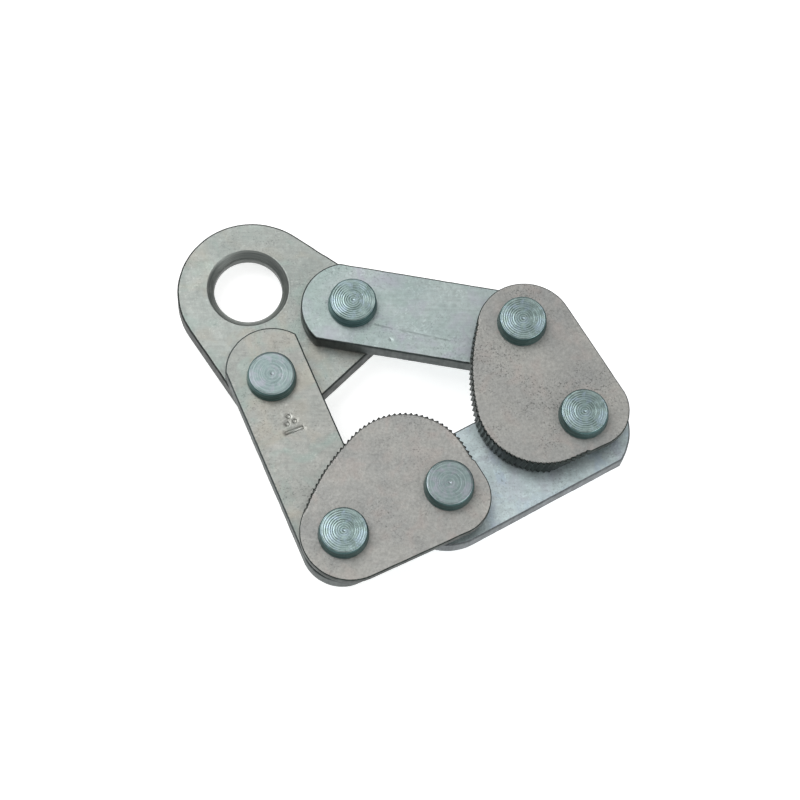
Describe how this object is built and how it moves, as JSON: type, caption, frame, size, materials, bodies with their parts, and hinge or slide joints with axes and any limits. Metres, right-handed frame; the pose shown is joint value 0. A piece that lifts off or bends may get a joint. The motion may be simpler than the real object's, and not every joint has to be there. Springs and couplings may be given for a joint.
{
  "type": "wire rope grip",
  "caption": "Wire rope grip: a pulling eye plate and riveted flat links that swing toothed cams together to bite on a rope.",
  "frame": {"origin": "centre of the pulling eye, at half the eye plate's thickness", "axes": "+Z along the eye's bore, from the eye plate towards the cams; +X and +Y lie in the plates, with +X towards the cams and +Y towards the upper link"},
  "size_m": [0.1597, 0.1382, 0.0323],
  "materials": {
    "plated_bar": "bright zinc plate over hot rolled flat bar, pale blue green with faint stains",
    "cam_steel": "zinc plate over a shot blasted forging, matt and finely pitted",
    "rivet_steel": "zinc plate over turned steel with tool rings on the face",
    "washer_steel": "zinc plate over punched steel"
  },
  "bodies": {
    "base_link": {"base_link": "plated_bar"},
    "lower_cam": {"lower_cam": "cam_steel", "base_lower_rivet": "rivet_steel", "base_lower_washer": "washer_steel", "left_link_rivet": "rivet_steel", "left_link_washer": "washer_steel"},
    "upper_cam": {"upper_cam": "cam_steel", "base_upper_rivet": "rivet_steel", "base_upper_washer": "washer_steel", "upper_link_rivet": "rivet_steel", "upper_link_washer": "washer_steel"},
    "upper_link": {"upper_link": "plated_bar", "eye_upper_rivet": "rivet_steel", "eye_upper_washer": "washer_steel"},
    "left_link": {"left_link": "plated_bar", "eye_left_rivet": "rivet_steel", "eye_left_washer": "washer_steel"},
    "eye_plate": {"eye_plate": "plated_bar"}
  },
  "joints": [
    {"name": "lower_cam_turn", "type": "hinge", "parent": "base_link", "child": "lower_cam", "pos_m": [0.06977, -0.07935, 0.00765], "axis": [0, 0, -1], "range_deg": [-48, 44]},
    {"name": "upper_cam_turn", "type": "hinge", "parent": "base_link", "child": "upper_cam", "pos_m": [0.11686, -0.05292, 0.00765], "axis": [0, 0, -1], "range_deg": [-13.8, 12.7]},
    {"name": "upper_link_turn", "type": "hinge", "parent": "upper_cam", "child": "upper_link", "pos_m": [0.09632, -0.0186, 0.00765], "axis": [0, 0, -1], "range_deg": [-27.8, 25.5]},
    {"name": "left_link_turn", "type": "hinge", "parent": "lower_cam", "child": "left_link", "pos_m": [0.0337, -0.09663, 0.00765], "axis": [0, 0, 1], "range_deg": [-16.1, 14.8]},
    {"name": "eye_plate_turn", "type": "hinge", "parent": "left_link", "child": "eye_plate", "pos_m": [0.00878, -0.03714, 0], "axis": [0, 0, 1], "range_deg": [-39.9, 36.6]}
  ],
  "couplings": [
    {"joint": "upper_cam_turn", "follows": "lower_cam_turn", "ratio": 0.286},
    {"joint": "upper_link_turn", "follows": "lower_cam_turn", "ratio": 0.578},
    {"joint": "left_link_turn", "follows": "lower_cam_turn", "ratio": 0.334},
    {"joint": "eye_plate_turn", "follows": "lower_cam_turn", "ratio": 0.83}
  ]
}
